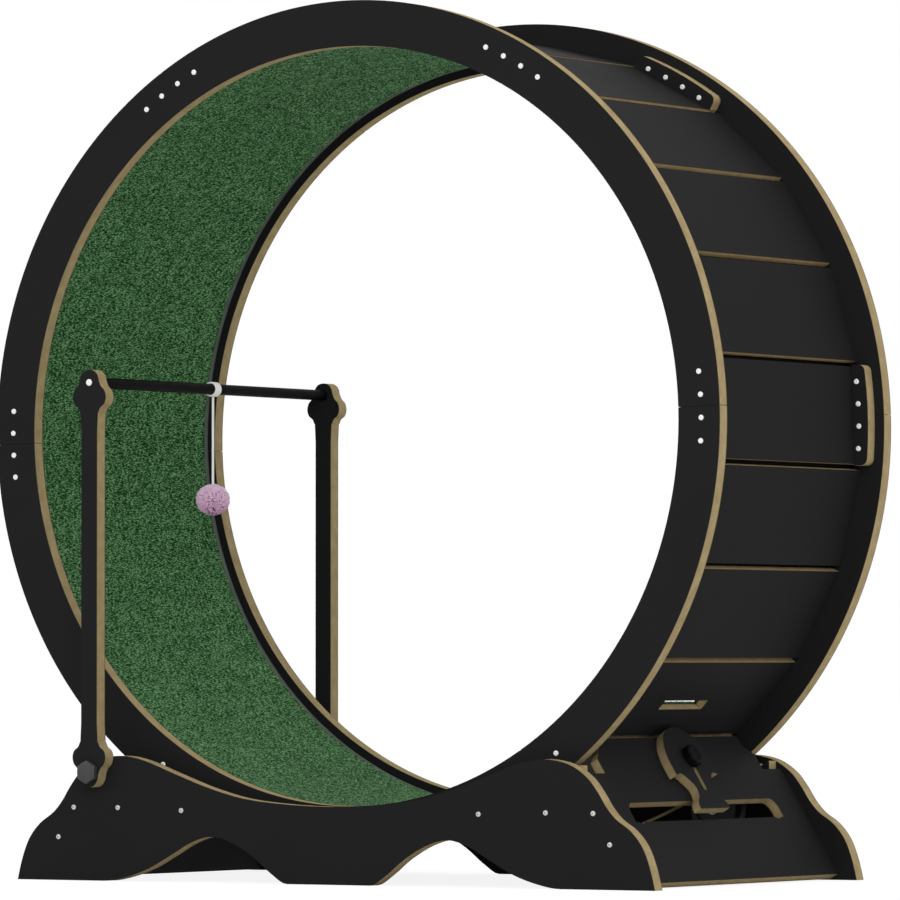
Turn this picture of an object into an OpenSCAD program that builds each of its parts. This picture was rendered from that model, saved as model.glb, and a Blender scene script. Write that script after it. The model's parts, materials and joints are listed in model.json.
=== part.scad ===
// Cat exercise wheel: a running wheel of boards and planks on four grooved rollers,
// in a base with a lock latch and a toy frame. Millimetres, X along the base, Y along
// the wheel's axis, Z up, with the origin on the floor below the middle of the wheel.

/* [Wheel] */
// Outer diameter of the two rings
wheel_d = 1000; // [900:10:1100]
// Radial width of the ring boards
ring_w = 54; // [50:1:62]
// Distance between the outer faces of the two rings
wheel_w = 415; // [340:5:480]
// Thickness of the ring, splice, side and post boards
board_t = 18; // [15:0.5:22]
// Space between the rings and the floor
rim_clear = 37; // [32:1:45]
// Angle at which the wheel stands
wheel_turn = 1.8; // [-3:0.1:3]
// Gap between two arcs of a ring
seam_gap = 0.4; // [0.2:0.1:1]
// Corner chamfer at the seams
seam_chamfer = 0.8; // [0:0.1:4]

/* [Track] */
// Depth of the planks' walking face below the outside of the rings
track_depth = 42; // [40:0.5:44]
// Thickness of the planks
plank_t = 10; // [6:0.5:12]
// Gap between the inner corners of two planks
plank_gap = 4.8; // [0.5:0.1:6]
// Length of the tenons on the planks' ends
tenon_l = 9; // [6:0.5:11]
// Width of a tenon
tenon_w = 30; // [20:1:36]
// Distance between the two tenons of one end
tenon_pitch = 64; // [56:1:70]
// Thickness of the carpet
carpet_t = 3; // [2:0.5:5]

/* [Splices] */
// Length of a splice plate
splice_l = 119; // [108:1:122]
// Distance from the outside of the ring to the splice plate
splice_lip = 12; // [9:0.5:14]
// Corner radius of a splice plate
splice_corner = 8; // [4:0.5:9]
// Distance between two screws of a seam
seam_pitch = 26.5; // [22:0.5:29]
// Distance of the seam screws from the outside of the ring
seam_inset = 24; // [22:0.5:26]

/* [Fasteners] */
// Shank diameter of the screws
screw_d = 4; // [3:0.5:5]
// Head diameter of the screws
head_d = 8; // [7:0.5:9]
// Head height of the screws
head_h = 1.8; // [1:0.2:2.6]
// Diameter of the axle, pivot and knob bolts
bolt_d = 8; // [6:0.5:9]
// Width of the nuts across the flats
nut_w = 13; // [11:0.5:15]
// Height of the nuts
nut_h = 6.5; // [5:0.5:8]

/* [Base] */
// Length of the side plates
base_l = 878; // [860:2:920]
// Distance of a hump's top from the middle of the base
hump_x = 292; // [284:1:300]
// Height of the humps
hump_h = 148.5; // [142:0.5:156]
// Height of the arches under the side plates
arch_h = 54; // [40:1:60]
// Inner end of an arch
arch_in = 57; // [40:1:70]
// Outer end of an arch
arch_out = 315; // [300:1:325]

/* [End panels] */
// Thickness of an end panel
panel_t = 12; // [9:0.5:13]
// Slope of an end panel from the floor
panel_slope = 58.2; // [57:0.1:60]
// Where the middle of an end panel meets the floor
panel_foot = 412; // [410:0.5:416]
// Space between the top of an end panel and the planks
panel_clear = 9.5; // [6:0.5:20]
// Height of the panel's lower edge up the slope
panel_lift = 5; // [4.5:0.5:7]
// Width of the grip slot
grip_w = 352; // [300:2:356]
// Height of the grip slot
grip_h = 26; // [20:0.5:28]
// Lower edge of the grip slot up the slope
grip_y = 85.6; // [80:0.2:90]
// Upper corner radius of the grip slot
grip_corner = 14; // [6:0.5:18]

/* [Rollers] */
// Distance of the rollers from the middle of the base
roller_x = 270; // [262:1:274]
// Tread diameter of a roller
tread_d = 52; // [46:1:56]
// Height of the roller's flanges above the tread
flange_h = 5; // [3:0.5:6]
// Width of a flange at its edge
flange_t = 2; // [1:0.5:3]
// Side clearance of the ring in the groove
groove_gap = 0.6; // [0.4:0.1:1]
// Taper of the groove's sides, across one side
groove_taper = 2.4; // [1:0.2:3]
// Depth of the hollow in a roller's faces
web_sink = 2.5; // [1:0.5:4]
// Wall round a roller's bore
hub_wall = 6; // [4:0.5:8]
// Washer between a roller and its bracket
washer_t = 2; // [1:0.5:3]

/* [Latch] */
// Thickness of the latch board
latch_t = 12; // [8:0.5:13]
// Radius of the latch's head
latch_r = 49; // [44:0.5:49]
// Space between the latch's top and the planks
latch_clear = 5.16; // [3:0.01:8]
// Distance of the knob's bolt below the latch's top
knob_drop = 42.5; // [40:0.5:46]
// Diameter of the knob
knob_d = 27; // [22:1:32]
// Height of the knob
knob_h = 10; // [6:0.5:16]
// Length of the slot in the latch
latch_slot_l = 57; // [45:1:58]
// Play of the latch in the plank's slot
lock_play = 2.5; // [1:0.5:4]
// Distance of the lock slot from the middle of its plank
lock_offset = -10; // [-20:1:15]

/* [Toy frame] */
// Distance of the posts from the middle of the base
post_x = 324.5; // [322:0.5:327]
// Height of the pivot bolts
pivot_z = 129; // [126:0.5:130]
// Distance from the pivot to the bar
post_l = 463; // [430:1:470]
// Width of a post
post_w = 22; // [18:0.5:26]
// Width of a post across its ears
ear_w = 46.5; // [40:0.5:52]
// Length of a post's head
head_l = 50; // [46:0.5:54]
// Diameter of the bar
bar_d = 13; // [10:0.5:15]
// Width of the pivot bolts' heads across the corners
cap_d = 28; // [18:0.5:32]
// Height of the pivot bolts' heads
cap_h = 7; // [4:0.5:10]

/* [Toy] */
// Outer diameter of the sliding ring
slide_ring_d = 18; // [17:0.5:24]
// Width of the sliding ring
slide_ring_w = 12; // [4:0.5:16]
// Length of the string
string_l = 106.3; // [80:0.1:120]
// Diameter of the string
string_d = 3; // [2:0.5:4]
// Diameter of the pom-pom
pompom_d = 41; // [30:1:50]

/* [Hidden] */
$fn = 96;
// clearances: a hole round a fixed shank, a running fit, and faces that pass each other
hole_gap = 0.1;
run_gap = 0.06;
slip_gap = 0.3;
eps = 0.5;

arcs = 6;
planks = 24;
arc_step = 360 / arcs;
plank_step = 360 / planks;
seam_screws = 4;

// the wheel
rim_r = wheel_d / 2;
inner_r = rim_r - ring_w;
hub_z = rim_clear + rim_r;
ring_out = wheel_w / 2;
ring_in = ring_out - board_t;
track_r = rim_r - track_depth;
plank_w = 2 * track_r * tan(plank_step / 2) - plank_gap;
plank_out = track_r + plank_t;
carpet_out = track_r - 0.2;
carpet_in = carpet_out - carpet_t;
splice_in = plank_out + 0.2;
corner_r = norm([plank_out, plank_w / 2]);
splice_out = rim_r - splice_lip;
seam_r = rim_r - seam_inset;

// the rollers carry both rings, on brackets inside the side plates
tread_r = tread_d / 2;
flange_r = tread_r + flange_h;
groove_half = board_t / 2 + groove_gap;
roller_half = groove_half + groove_taper + flange_t;
roller_y = ring_out - board_t / 2;
roller_reach = rim_r + tread_r + slip_gap;
roller_z = hub_z - sqrt(pow(roller_reach, 2) - pow(roller_x, 2));
bracket_in = roller_y + roller_half + washer_t;
plate_in = bracket_in + board_t;
plate_out = plate_in + board_t;
sink_r = bolt_d / 2 + 4;
sink_h = 6;

// the side plates' outline, as shares of the spans between its named sizes
dip_h = rim_clear + ring_w;
hump_rise = [[0, 0], [0.342, 0.1], [0.548, 0.32], [0.736, 0.64], [0.884, 0.905], [1, 1]];
foot_fall = [[0, 1], [0.224, 0.963], [0.388, 0.865], [0.49, 0.747], [0.565, 0.636], [0.653, 0.542],
             [0.782, 0.4545], [0.884, 0.337], [0.952, 0.182], [1, 0]];
arch_rise = [[1, 0], [0.884, 0.083], [0.756, 0.278], [0.632, 0.583], [0.519, 0.87], [0.411, 1],
             [0.302, 0.88], [0.186, 0.583], [0.089, 0.23], [0, 0]];
curve_steps = 4;
// heights of the screws through the side plates
panel_screw_z = [87, 51.5];
bracket_screws = [[295, 87], [205, 84.5]];
panel_screw_l = 40;
bracket_screw_l = 32;
bracket_x = 185;
bracket_z = 62;
bracket_drop = 9;
lug_x = 330;

// how far up the slope a line lies inside a circle round the hub: the line is parallel to
// an end panel, out of its middle plane, and the height is where it enters the circle
function slope_reach(out, r) =
    let (
        x = panel_foot + out * sin(panel_slope),
        z = out * cos(panel_slope) - hub_z,
        along = z * sin(panel_slope) - x * cos(panel_slope)
    )
    -along - sqrt(along * along - x * x - z * z + r * r);

// the end panels: x across the base, y up the slope, z out of the panel's middle plane
notch_clear = 27;
ring_clear = 7.8;
splice_clear = 5.9;
side_clear = 3;
panel_top = slope_reach(panel_t / 2, corner_r + panel_clear);
notch_y = slope_reach(panel_t / 2, rim_r + notch_clear);
ring_clear_y = slope_reach(panel_t / 2, rim_r + ring_clear);
splice_clear_y = slope_reach(panel_t / 2, splice_out + splice_clear);
ring_clear_x = ring_in - side_clear;
splice_clear_x = ring_clear_x - board_t;
panel_top_x = splice_clear_x - side_clear;

// the latch, parked below the wheel, and its slot in one plank; its ears end below the knob
ear_drop = 22;
slot_drop = 44;
latch_top = slope_reach(panel_t / 2 + slip_gap + latch_t, corner_r + latch_clear);
knob_y = latch_top - knob_drop;
ear_y = knob_y - ear_drop;
// half of the neck: half widths, and heights below the knob
neck_w = [[35, -19.2], [29, -25.6], [19, -38], [21.5, -50], [29.5, -57.5], [33.5, -63.5], [34, -68]];
latch_slot_low = knob_y - slot_drop;
lock_w = 2 * latch_r + 2 * lock_play;
lock_h = latch_t + lock_play;
lock_plank = 22;
// how far the slot is cut past the plank and the carpet
lock_past = 5;

// the toy frame
post_in = plate_out + slip_gap;
post_out = post_in + board_t;
bar_z = pivot_z + post_l;
// half of a post's head, from its tip to its shaft: shares of the ears' half width and of
// the head's length
head_shape = [[0, 0.3], [0.3, 0.266], [0.5, 0.164], [0.58, 0.03], [0.7, -0.09], [0.92, -0.2],
              [1, -0.36], [0.9, -0.51], [0.66, -0.6], [0.52, -0.72]];
// a post's foot reaches this much further past its bolt than its head past the bar
foot_stretch = 1.2;
// straight stretch between a post's head and its shaft
head_taper = head_l * 0.44;
// depth of the bar screws in the bar
bar_screw_l = 24;
slide_ring_bore = bar_d / 2 + slip_gap;
string_top = bar_z - slide_ring_d / 2 - 0.2;
string_end = string_top - string_l;
pompom_z = string_end - pompom_d / 2 - 0.1;
// the string's route, straight down from the ring to the pom-pom
string_sides = 8;
string_rings = 14;

SIDES = ["front", "rear"];
ENDS = ["left", "right"];

BOARD = [0.13, 0.13, 0.13];
CARPET = [0.18, 0.38, 0.21];
STEEL = [0.75, 0.75, 0.77];
WHITE = [0.95, 0.95, 0.95];
PLASTIC = [0.2, 0.2, 0.21];
PINK = [0.83, 0.66, 0.82];

// ---- curves ----

// a point between p[i] and p[i + 1] on the smooth curve through the points of p
function between(p, i, t) =
    0.5 * ((2 * p[i])
    + (p[i + 1] - p[i - 1]) * t
    + (2 * p[i - 1] - 5 * p[i] + 4 * p[i + 1] - p[i + 2]) * t * t
    + (3 * p[i] - p[i - 1] - 3 * p[i + 1] + p[i + 2]) * t * t * t);

// the smooth curve from the second point of p to the last but one
function smooth(p) = concat(
    [for (i = [1 : len(p) - 3], j = [0 : curve_steps - 1]) between(p, i, j / curve_steps)],
    [p[len(p) - 2]]
);

// the same list with a point before its start and after its end, level with the ends
function level_ends(p) = concat(
    [[2 * p[0][0] - p[1][0], p[1][1]]],
    p,
    [[2 * p[len(p) - 1][0] - p[len(p) - 2][0], p[len(p) - 2][1]]]
);

// the same list with its end points written twice
function plain_ends(p) = concat([p[0]], p, [p[len(p) - 1]]);

// the same list backwards on the other side of the middle
function flip(p) = [for (i = [len(p) - 1 : -1 : 0]) [-p[i][0], p[i][1]]];

function spread(shares, from, to, high) = [for (s = shares) [from + s[0] * (to - from), high * s[1]]];

// ---- places ----

// the wheel's frame at one angle: x outwards, y along the axis, z onwards round the wheel
module on_wheel(angle) {
    translate([0, 0, hub_z])
    rotate([0, -wheel_turn - angle, 0])
    children();
}

// an end panel's frame: x across the base, y up the slope, z outwards
module on_panel() {
    translate([panel_foot, 0, 0])
    rotate([0, panel_slope - 90, 0])
    rotate([90, 0, 90])
    children();
}

// the same thing on both ends of the base
module both_ends() {
    children();
    mirror([1, 0, 0])
    children();
}

// the same thing on both sides of the wheel
module both_sides() {
    children();
    mirror([0, 1, 0])
    children();
}

// a cylinder along +Y from y = from to y = to
module rod(d, from, to) {
    translate([0, from, 0])
    rotate([-90, 0, 0])
    cylinder(d = d, h = to - from);
}

// a domed screw head that stands on y = 0 towards +Y
module dome_head() {
    rod(head_d, 0, head_h * 0.5);
    translate([0, head_h * 0.5, 0])
    rotate([-90, 0, 0])
    cylinder(d1 = head_d, d2 = head_d * 0.6, h = head_h * 0.5);
}

module hex_nut(across_flats, bore, h) {
    rotate([-90, 0, 0])
    difference() {
        cylinder(d = across_flats / cos(30), h = h, $fn = 6);
        translate([0, 0, -eps])
        cylinder(d = bore, h = h + 2 * eps);
    }
}

// ---- wheel ----

// angles of a seam's screws from the seam
function seam_angle(i) = (i - (seam_screws - 1) / 2) * seam_pitch / seam_r * 180 / PI;

// the holes of one seam's screws, through a ring and its splice plate
module seam_holes(d) {
    for (i = [0 : seam_screws - 1])
        rotate([0, -seam_angle(i), 0])
        translate([seam_r, 0, 0])
        rod(d, ring_in - board_t - eps, ring_out + eps);
}

// the two tenons on a plank's rear end, or their mortises
module tenons(grow, length) {
    for (z = [-1, 1])
        translate([track_r - grow, ring_in - eps, z * tenon_pitch / 2 - tenon_w / 2 - grow])
        cube([plank_t + 2 * grow, length + eps, tenon_w + 2 * grow]);
}

module seam_corner(r) {
    translate([r, ring_out - board_t / 2, 0])
    rotate([0, 45, 0])
    cube([seam_chamfer * sqrt(2), board_t + 2, seam_chamfer * sqrt(2)], center = true);
}

// one arc of the rear ring, from angle 0 to one step
module ring_arc() {
    cut = seam_gap / 2 / rim_r * 180 / PI;
    difference() {
        translate([0, ring_out, 0])
        rotate([90, 0, 0])
        rotate([0, 0, cut])
        rotate_extrude(angle = arc_step - 2 * cut, $fn = 360)
        translate([inner_r, 0])
        square([ring_w, board_t]);
        for (i = [0 : planks / arcs])
            rotate([0, -i * plank_step, 0])
            tenons(hole_gap, tenon_l + hole_gap);
        for (end = [0, arc_step])
            rotate([0, -end, 0]) {
                seam_holes(screw_d + 2 * hole_gap);
                if (seam_chamfer > 0) {
                    seam_corner(inner_r);
                    seam_corner(rim_r);
                }
            }
    }
}

module wheel_ring_arc(side, k) {
    color(BOARD)
    on_wheel((k - 1) * arc_step)
    if (side == "rear") {
        ring_arc();
    } else {
        mirror([0, 1, 0])
        ring_arc();
    }
}

module lock_slot() {
    translate([track_r - carpet_t - lock_past, -lock_w / 2, lock_offset - lock_h / 2])
    cube([plank_t + carpet_t + 2 * lock_past, lock_w, lock_h]);
}

module plank(k) {
    color(BOARD)
    on_wheel((k - 1) * plank_step)
    difference() {
        union() {
            translate([track_r, -ring_in, -plank_w / 2])
            cube([plank_t, 2 * ring_in, plank_w]);
            both_sides()
            tenons(0, tenon_l);
        }
        if (k == lock_plank)
            lock_slot();
    }
}

// a splice plate's outline: x outwards, y along the seam's plank
module splice_outline() {
    corner_c = splice_out - splice_corner;
    corner_y = splice_l / 2 - splice_corner;
    corner_x = sqrt(pow(corner_c, 2) - pow(corner_y, 2));
    translate([splice_in, -splice_l / 2])
    square([corner_x - splice_in, splice_l]);
    intersection() {
        circle(r = splice_out, $fn = 360);
        translate([corner_x - eps, -corner_y * splice_out / corner_c])
        square([2 * ring_w, 2 * corner_y * splice_out / corner_c]);
    }
    for (s = [-1, 1])
        translate([corner_x, s * corner_y])
        circle(r = splice_corner);
}

module splice_plates() {
    color(BOARD)
    for (k = [1 : arcs])
        on_wheel((k - 1) * arc_step)
        both_sides()
        difference() {
            translate([0, ring_in, 0])
            rotate([90, 0, 0])
            linear_extrude(board_t)
            splice_outline();
            seam_holes(screw_d + 2 * hole_gap);
        }
}

// connector screws: a shank through the ring and the splice plate with a head at each end
module ring_screws() {
    color(WHITE)
    for (k = [1 : arcs], i = [0 : seam_screws - 1])
        on_wheel((k - 1) * arc_step + seam_angle(i))
        both_sides()
        translate([seam_r, 0, 0]) {
            rod(screw_d, ring_in - board_t, ring_out);
            translate([0, ring_out, 0])
            dome_head();
            translate([0, ring_in - board_t, 0])
            mirror([0, 1, 0])
            dome_head();
        }
}

module carpet() {
    color(CARPET)
    on_wheel(0)
    difference() {
        rotate([90, 0, 0])
        linear_extrude(2 * ring_in, center = true)
        difference() {
            circle(r = carpet_out, $fn = 360);
            circle(r = carpet_in, $fn = 360);
        }
        rotate([0, -(lock_plank - 1) * plank_step, 0])
        lock_slot();
    }
}

// ---- base ----

right_top = smooth(concat(
    [[-hump_x * hump_rise[1][0], dip_h + (hump_h - dip_h) * hump_rise[1][1]]],
    [for (s = hump_rise) [hump_x * s[0], dip_h + (hump_h - dip_h) * s[1]]],
    [for (i = [1 : len(foot_fall) - 1])
        [hump_x + foot_fall[i][0] * (base_l / 2 - hump_x), hump_h * foot_fall[i][1]]],
    [[base_l / 2 + 2, -hump_h * 0.12]]
));
right_arch = smooth(level_ends(spread(arch_rise, arch_in, arch_out, arch_h)));

// half of a side plate's outline, from the middle of the dip round the foot to the floor
module side_outline() {
    half = concat(right_top, right_arch);
    polygon(concat(half, flip(half)));
}

// the points of the screws through a side plate, on one end of the base
function panel_screw(z) = [panel_foot - z / tan(panel_slope), z];
plate_screws = concat([for (z = panel_screw_z) panel_screw(z)], bracket_screws);

module side_plate() {
    color(BOARD)
    difference() {
        translate([0, plate_out, 0])
        rotate([90, 0, 0])
        linear_extrude(board_t)
        side_outline();
        both_ends()
        for (p = plate_screws)
            translate([p[0], 0, p[1]])
            rod(screw_d + 2 * hole_gap, plate_in - eps, plate_out + eps);
        translate([-post_x, 0, pivot_z])
        rod(bolt_d + 2 * hole_gap, plate_in - eps, plate_out + eps);
    }
}

// half of the panel's outline from the middle of its foot to the middle of its top
module panel_outline() {
    half = [
        [plate_in, panel_lift],
        [plate_in, notch_y],
        [ring_clear_x, notch_y],
        [ring_clear_x, ring_clear_y],
        [splice_clear_x, splice_clear_y],
        [panel_top_x, panel_top]
    ];
    polygon(concat(half, flip(half)));
}

module grip_slot() {
    top = grip_y + grip_h;
    translate([-grip_w / 2, grip_y])
    square([grip_w, grip_h - grip_corner]);
    translate([-grip_w / 2 + grip_corner, grip_y])
    square([grip_w - 2 * grip_corner, grip_h]);
    for (s = [-1, 1])
        translate([s * (grip_w / 2 - grip_corner), top - grip_corner])
        circle(r = grip_corner);
}

module end_panel(latched) {
    color(BOARD)
    difference() {
        on_panel() {
            difference() {
                translate([0, 0, -panel_t / 2])
                linear_extrude(panel_t)
                difference() {
                    panel_outline();
                    grip_slot();
                }
                if (latched)
                    translate([0, knob_y, -panel_t])
                    cylinder(d = bolt_d + 2 * hole_gap, h = 2 * panel_t);
            }
        }
        both_sides()
        for (z = panel_screw_z)
            translate([panel_screw(z)[0], 0, z])
            rod(screw_d + 2 * hole_gap, plate_out - panel_screw_l - hole_gap, plate_out);
    }
}

// the bracket of one corner stays below the side plate's top and hooks over the end panel
module bracket_outline() {
    inner_face = panel_foot - (panel_t / 2 + slip_gap) / sin(panel_slope);
    lean = 1 / tan(panel_slope);
    hook_z = (notch_y + slip_gap) * sin(panel_slope);
    hook_x = panel_foot - notch_y * cos(panel_slope);
    intersection() {
        union() {
            intersection() {
                translate([0, -bracket_drop])
                side_outline();
                polygon([
                    [bracket_x, bracket_z],
                    [inner_face - bracket_z * lean, bracket_z],
                    [inner_face - hump_h * lean, hump_h],
                    [bracket_x, hump_h]
                ]);
            }
            // the hook stands in the notch, above the panel's shoulder
            intersection() {
                side_outline();
                translate([hook_x, hook_z])
                rotate([0, 0, 90 - panel_slope])
                translate([-2 * panel_t, slip_gap])
                square([3 * panel_t, panel_t]);
            }
        }
        translate([bracket_x, 0])
        square([lug_x - bracket_x, hump_h]);
    }
}

module roller_brackets() {
    color(BOARD)
    both_sides()
    both_ends()
    difference() {
        translate([0, plate_in, 0])
        rotate([90, 0, 0])
        linear_extrude(board_t)
        bracket_outline();
        translate([roller_x, 0, roller_z]) {
            rod(bolt_d + 2 * hole_gap, bracket_in - eps, plate_in + eps);
            rod(2 * sink_r, plate_in - sink_h, plate_in + eps);
        }
        for (p = bracket_screws)
            translate([p[0], 0, p[1]])
            rod(screw_d + 2 * hole_gap, plate_out - bracket_screw_l - hole_gap, plate_in + eps);
    }
}

module wood_screw(length) {
    rod(screw_d, plate_out - length, plate_out);
    translate([0, plate_out, 0])
    dome_head();
}

module base_screws() {
    color(WHITE)
    both_sides()
    both_ends() {
        for (z = panel_screw_z)
            translate([panel_screw(z)[0], 0, z])
            wood_screw(panel_screw_l);
        for (p = bracket_screws)
            translate([p[0], 0, p[1]])
            wood_screw(bracket_screw_l);
    }
}

// ---- rollers ----

// half of the roller's section, from its middle to its outer face
hub_r = bolt_d / 2 + hub_wall;
edge_cut = 0.8;
roller_side = [
    [tread_r, groove_half],
    [flange_r, groove_half + groove_taper],
    [flange_r, roller_half - edge_cut],
    [flange_r - edge_cut, roller_half],
    [tread_r - flange_t, roller_half],
    [tread_r - flange_t - 1, roller_half - web_sink],
    [hub_r, roller_half - web_sink],
    [hub_r - 1, roller_half],
    [bolt_d / 2 + run_gap, roller_half]
];

module roller() {
    other = [for (i = [len(roller_side) - 1 : -1 : 0]) [roller_side[i][0], -roller_side[i][1]]];
    color(PLASTIC)
    translate([roller_x, roller_y, roller_z])
    rotate([-90, 0, 0])
    rotate_extrude()
    polygon(concat(roller_side, other));
}

module washer(d, from, to) {
    difference() {
        rod(d, from, to);
        rod(bolt_d + 2 * hole_gap, from - eps, to + eps);
    }
}

// an axle: a bolt from behind the bracket, a washer on each side of the roller, and a nut
module roller_axle() {
    inner = roller_y - roller_half;
    nut_y = inner - washer_t - nut_h - 0.1;
    translate([roller_x, 0, roller_z]) {
        rod(bolt_d, nut_y - 1, plate_in - sink_h + 0.2);
        rod(bolt_d + 5, plate_in - sink_h + 0.2, plate_in - 0.4);
        washer(2 * bolt_d, bracket_in - washer_t + 0.15, bracket_in);
        washer(2 * bolt_d, inner - washer_t, inner - 0.15);
        translate([0, nut_y, 0])
        hex_nut(nut_w, bolt_d + 2 * hole_gap, nut_h);
    }
}

// the four axles, and the nut that the knob's stud turns in, behind the end panel
module bolts_and_nuts() {
    color(STEEL) {
        both_sides()
        both_ends()
        roller_axle();
        on_panel()
        translate([0, knob_y, -panel_t / 2 - nut_h])
        rotate([90, 0, 0])
        hex_nut(nut_w, bolt_d + 2 * run_gap, nut_h);
    }
}

// ---- latch ----

module latch_head() {
    difference() {
        union() {
            intersection() {
                translate([0, latch_top - latch_r])
                circle(r = latch_r);
                translate([-latch_r, latch_top - latch_r - eps])
                square(2 * latch_r);
            }
            translate([-latch_r, ear_y])
            square([2 * latch_r, latch_top - latch_r - ear_y]);
        }
        // the ears' undersides rise towards the neck
        for (s = [-1, 1])
            polygon([
                [s * (latch_r + 1), ear_y - 1],
                [s * (latch_r + 1), ear_y],
                [s * neck_w[0][0], knob_y + neck_w[0][1]],
                [s * neck_w[0][0], ear_y - 1]
            ]);
    }
}

module latch_neck() {
    neck = smooth(plain_ends(neck_w));
    translate([0, knob_y])
    polygon(concat(neck, flip(neck)));
}

module latch_slot() {
    w = bolt_d + 2 * hole_gap;
    for (y = [latch_slot_low + w / 2, latch_slot_low + latch_slot_l - w / 2])
        translate([0, y])
        circle(d = w);
    translate([-w / 2, latch_slot_low + w / 2])
    square([w, latch_slot_l - w]);
}

module lock_latch() {
    color(BOARD)
    on_panel()
    translate([0, 0, panel_t / 2 + slip_gap])
    difference() {
        union() {
            linear_extrude(latch_t)
            latch_head();
            linear_extrude(latch_t)
            latch_neck();
        }
        translate([0, 0, -eps])
        linear_extrude(latch_t + 2 * eps)
        latch_slot();
    }
}

// a fluted knob on its stud
module lock_knob() {
    base = panel_t / 2 + latch_t + 2 * slip_gap;
    flutes = 8;
    color(PLASTIC)
    on_panel()
    translate([0, knob_y, 0]) {
        translate([0, 0, -panel_t / 2 - nut_h - 1.5])
        cylinder(d = bolt_d, h = base + panel_t / 2 + nut_h + 2);
        difference() {
            translate([0, 0, base]) {
                cylinder(d = knob_d, h = knob_h - 2);
                translate([0, 0, knob_h - 2])
                cylinder(d1 = knob_d, d2 = knob_d - 4, h = 2);
            }
            for (i = [0 : flutes - 1])
                rotate([0, 0, i * 360 / flutes])
                translate([knob_d / 2 + 2.4, 0, base - eps])
                cylinder(r = 4, h = knob_h + 2 * eps);
        }
    }
}

// ---- toy frame ----

// half of a post's outline at its bar end, with the bar's axis at the origin
function head_half() =
    smooth(level_ends([for (p = head_shape) [p[0] * ear_w / 2, p[1] * head_l]]));

module post_outline() {
    top = [for (p = head_half()) [p[0], p[1] + post_l]];
    foot = [for (p = head_half()) [p[0], -p[1] * (p[1] > 0 ? foot_stretch : 1)]];
    back = [for (i = [len(foot) - 1 : -1 : 0]) foot[i]];
    shaft_end = head_taper - head_shape[len(head_shape) - 1][1] * head_l;
    shaft = [[post_w / 2, post_l - shaft_end], [post_w / 2, shaft_end]];
    half = concat(top, shaft, back);
    polygon(concat(half, flip(half)));
}

module post() {
    color(BOARD)
    translate([-post_x, 0, pivot_z])
    difference() {
        translate([0, post_out, 0])
        rotate([90, 0, 0])
        linear_extrude(board_t)
        post_outline();
        rod(bolt_d + 2 * run_gap, post_in - eps, post_out + eps);
        translate([0, 0, post_l])
        rod(screw_d + 2 * hole_gap, post_in - eps, post_out + eps);
    }
}

module toy_bar() {
    color(BOARD)
    translate([-post_x, 0, bar_z])
    difference() {
        rod(bar_d, -post_in, post_in);
        both_sides()
        rod(screw_d + 2 * hole_gap, post_in - bar_screw_l - 1, post_in + eps);
    }
}

module bar_screws() {
    color(WHITE)
    translate([-post_x, 0, bar_z])
    both_sides() {
        rod(screw_d, post_in - bar_screw_l, post_out);
        translate([0, post_out, 0])
        dome_head();
    }
}

module frame_bolts() {
    color(PLASTIC)
    both_sides()
    translate([-post_x, 0, pivot_z]) {
        rod(bolt_d, plate_in, post_out + slip_gap);
        translate([0, post_out + slip_gap, 0])
        rotate([-90, 0, 0])
        cylinder(d = cap_d, h = cap_h, $fn = 6);
    }
}

// ---- toy ----

module toy_ring() {
    color(WHITE)
    translate([-post_x, 0, bar_z])
    rotate([-90, 0, 0])
    rotate_extrude()
    difference() {
        translate([slide_ring_bore, -slide_ring_w / 2])
        square([slide_ring_d / 2 - slide_ring_bore, slide_ring_w]);
        for (s = [-1, 1])
            translate([slide_ring_d / 2, s * slide_ring_w / 2])
            rotate([0, 0, 45])
            square(1.6, center = true);
    }
}

module toy_string() {
    points = [for (i = [0 : string_rings], j = [0 : string_sides - 1]) [
        -post_x + string_d / 2 * cos(j * 360 / string_sides),
        string_d / 2 * sin(j * 360 / string_sides),
        string_top - string_l * i / string_rings
    ]];
    caps = [
        [for (j = [0 : string_sides - 1]) j],
        [for (j = [string_sides - 1 : -1 : 0]) string_rings * string_sides + j]
    ];
    walls = [for (i = [0 : string_rings - 1], j = [0 : string_sides - 1]) [
        i * string_sides + (j + 1) % string_sides,
        i * string_sides + j,
        (i + 1) * string_sides + j,
        (i + 1) * string_sides + (j + 1) % string_sides
    ]];
    color(WHITE)
    polyhedron(points, concat(caps, walls));
}

module pompom() {
    color(PINK)
    translate([-post_x, 0, pompom_z])
    sphere(d = pompom_d);
}

// ---- nodes ----

for (s = SIDES, k = [1 : arcs])
    wheel_ring_arc(s, k);
for (k = [1 : planks])
    plank(k);
splice_plates();
ring_screws();
carpet();
mirror([0, 1, 0]) side_plate();  // front_side_plate
side_plate();  // rear_side_plate
mirror([1, 0, 0]) end_panel(false);  // left_end_panel
end_panel(true);  // right_end_panel
roller_brackets();
base_screws();
bolts_and_nuts();
lock_knob();
frame_bolts();
mirror([1, 0, 0]) mirror([0, 1, 0]) roller();  // roller_front_left
mirror([0, 1, 0]) roller();  // roller_front_right
mirror([1, 0, 0]) roller();  // roller_rear_left
roller();  // roller_rear_right
lock_latch();
mirror([0, 1, 0]) post();  // front_post
post();  // rear_post
toy_bar();
bar_screws();
toy_ring();
toy_string();
pompom();
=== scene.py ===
# %% [markdown]
# # A cat exercise wheel
#
# The wheel is two rings of black laminated board with 24 planks between them, a strip of
# green carpet inside, and a base with four rollers, a lock latch and a toy on a frame.
# The pieces were built to size before this lesson and come in as a fixed frame. Here each
# one gets its finish, and the pieces whose looks need more than flat faces are modelled:
# the carpet, the screws, the bolts, the knob, the toy ring, the string and the pom-pom.

# %% Load the frame
import json
import math
import random

import bmesh
import bpy
from mathutils import Matrix, Vector, noise


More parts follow.
